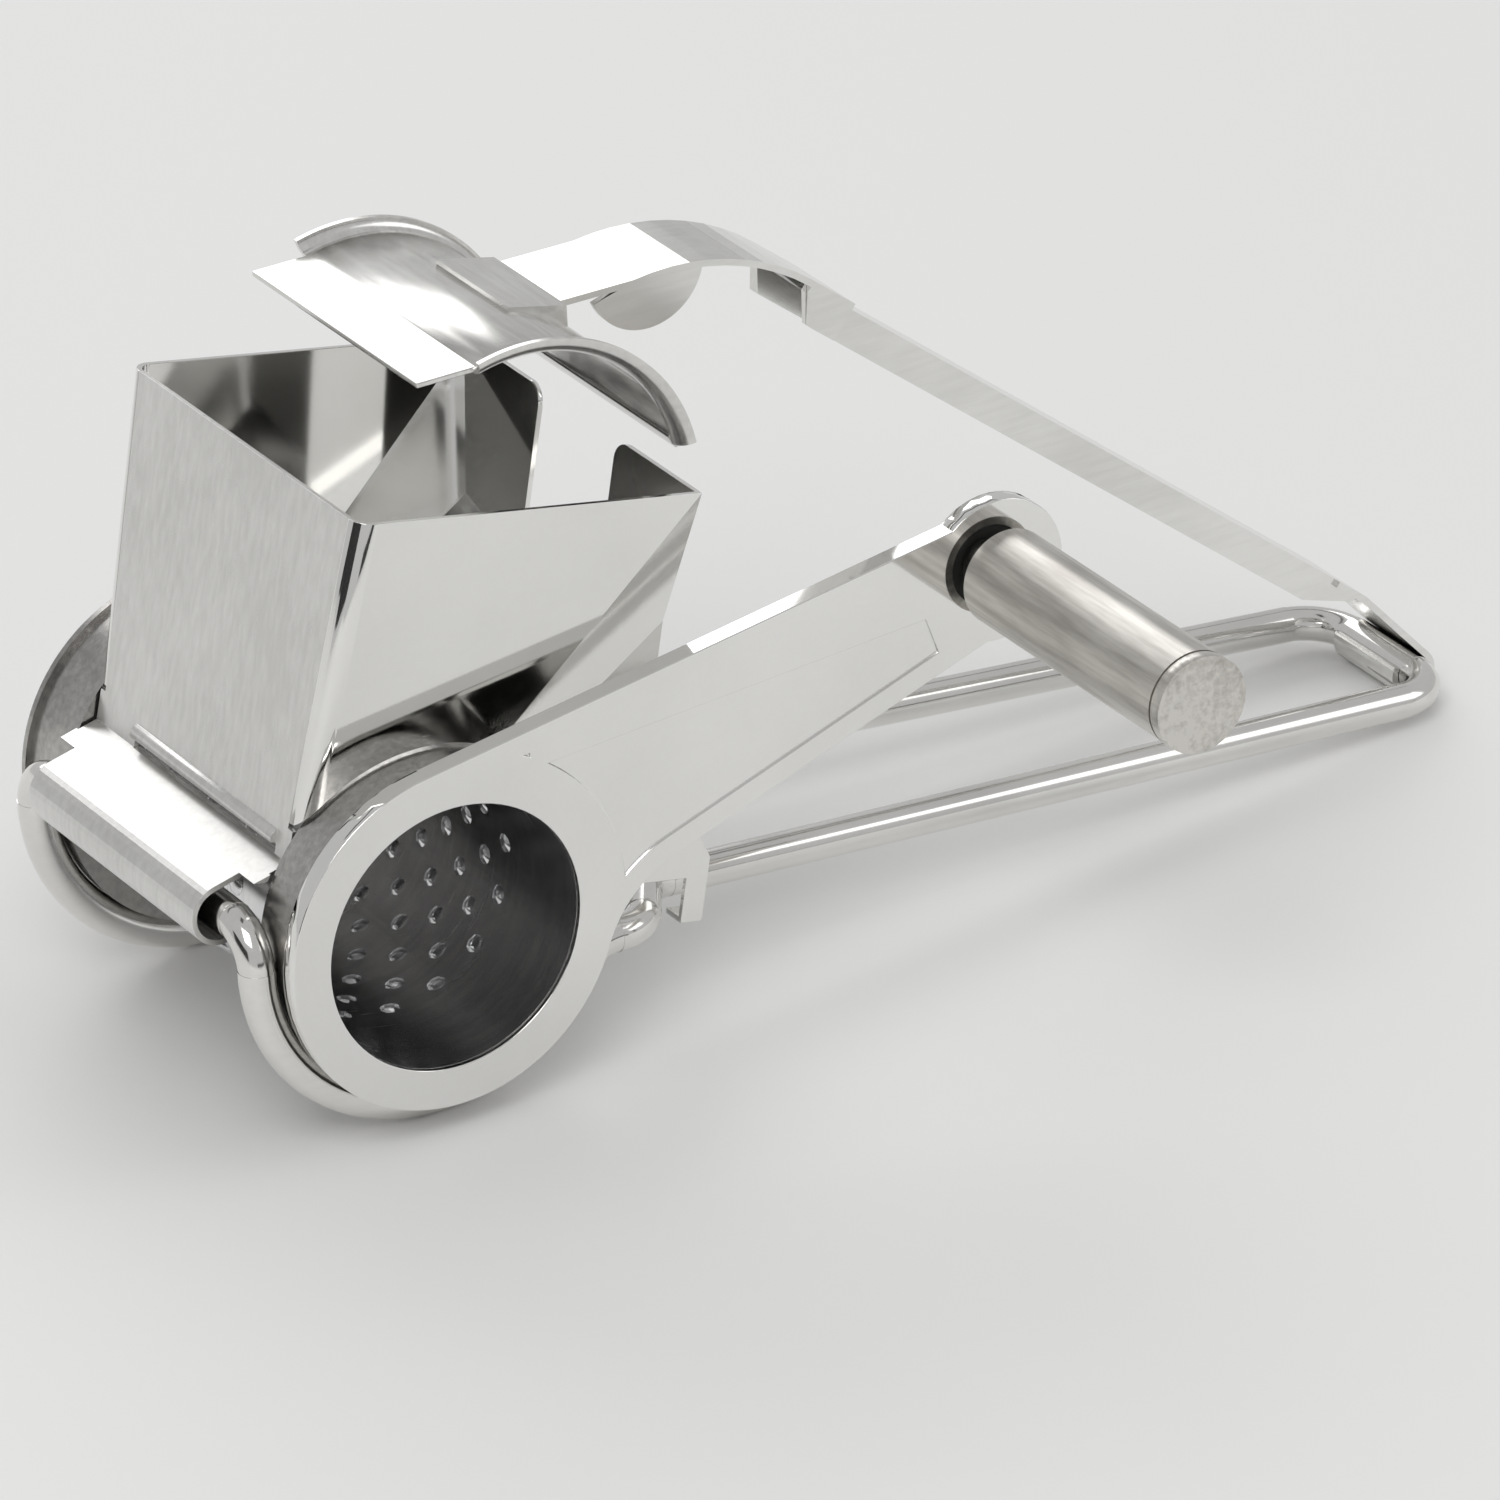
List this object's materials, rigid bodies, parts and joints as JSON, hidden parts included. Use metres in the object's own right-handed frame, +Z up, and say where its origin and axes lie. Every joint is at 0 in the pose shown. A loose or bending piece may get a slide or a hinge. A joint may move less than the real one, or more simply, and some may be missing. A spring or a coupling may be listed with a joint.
{
  "type": "rotary cheese grater",
  "caption": "Hand-held rotary grater: bent-rod stand, hinged hopper, crank-turned perforated drum and a hinged presser handle with an arched shoe.",
  "frame": {"origin": "on the table under the middle of the whole grater", "axes": "+X towards the rear cross rod and the handle's hinge, +Y away from the crank, +Z up"},
  "size_m": [0.2216, 0.1316, 0.1108],
  "materials": {
    "rod_steel": "polished stainless rod",
    "front_steel": "satin stainless sheet",
    "polished_steel": "mirror-polished stainless sheet",
    "shell_steel": "stainless sheet with raised cutting edges",
    "collar_steel": "turned stainless",
    "pin_steel": "turned stainless",
    "knob_steel": "brushed stainless tube",
    "bush_plastic": "dark plastic bush",
    "handle_steel": "polished stainless strip",
    "shoe_steel": "satin stainless sheet"
  },
  "bodies": {
    "frame": {"frame_rod": "rod_steel"},
    "hopper": {"hopper_front": "front_steel", "hopper_side_near": "polished_steel", "hopper_side_far": "polished_steel", "hopper_back": "polished_steel"},
    "drum": {"drum_shell": "shell_steel", "drum_collar_near": "collar_steel", "drum_collar_far": "collar_steel", "drum_end_disc": "collar_steel", "crank_plate": "polished_steel", "knob_pin": "pin_steel", "pin_rivet": "pin_steel"},
    "knob": {"knob_sleeve": "knob_steel", "knob_cap": "knob_steel", "knob_bush_near": "bush_plastic", "knob_bush_far": "bush_plastic"},
    "presser": {"handle_arm": "handle_steel", "handle_neck": "handle_steel", "handle_foot": "handle_steel", "shoe_plate": "shoe_steel", "shoe_rim_near": "shoe_steel", "shoe_rim_far": "shoe_steel"}
  },
  "joints": [
    {"name": "hopper_hinge", "type": "hinge", "parent": "frame", "child": "hopper", "pos_m": [-0.1055, 0.0262, 0.03675], "axis": [0, -1, 0], "range_deg": [0, 5]},
    {"name": "drum_spin", "type": "hinge", "parent": "frame", "child": "drum", "pos_m": [-0.0775, 0.0262, 0.03075], "axis": [0, 1, 0], "continuous": true},
    {"name": "knob_spin", "type": "hinge", "parent": "drum", "child": "knob", "pos_m": [0.01416, -0.0134, 0.06124], "axis": [0, 1, 0], "continuous": true},
    {"name": "presser_hinge", "type": "hinge", "parent": "frame", "child": "presser", "pos_m": [0.107, 0.0262, 0.00383], "axis": [0, 1, 0], "range_deg": [-15, 80]}
  ]
}
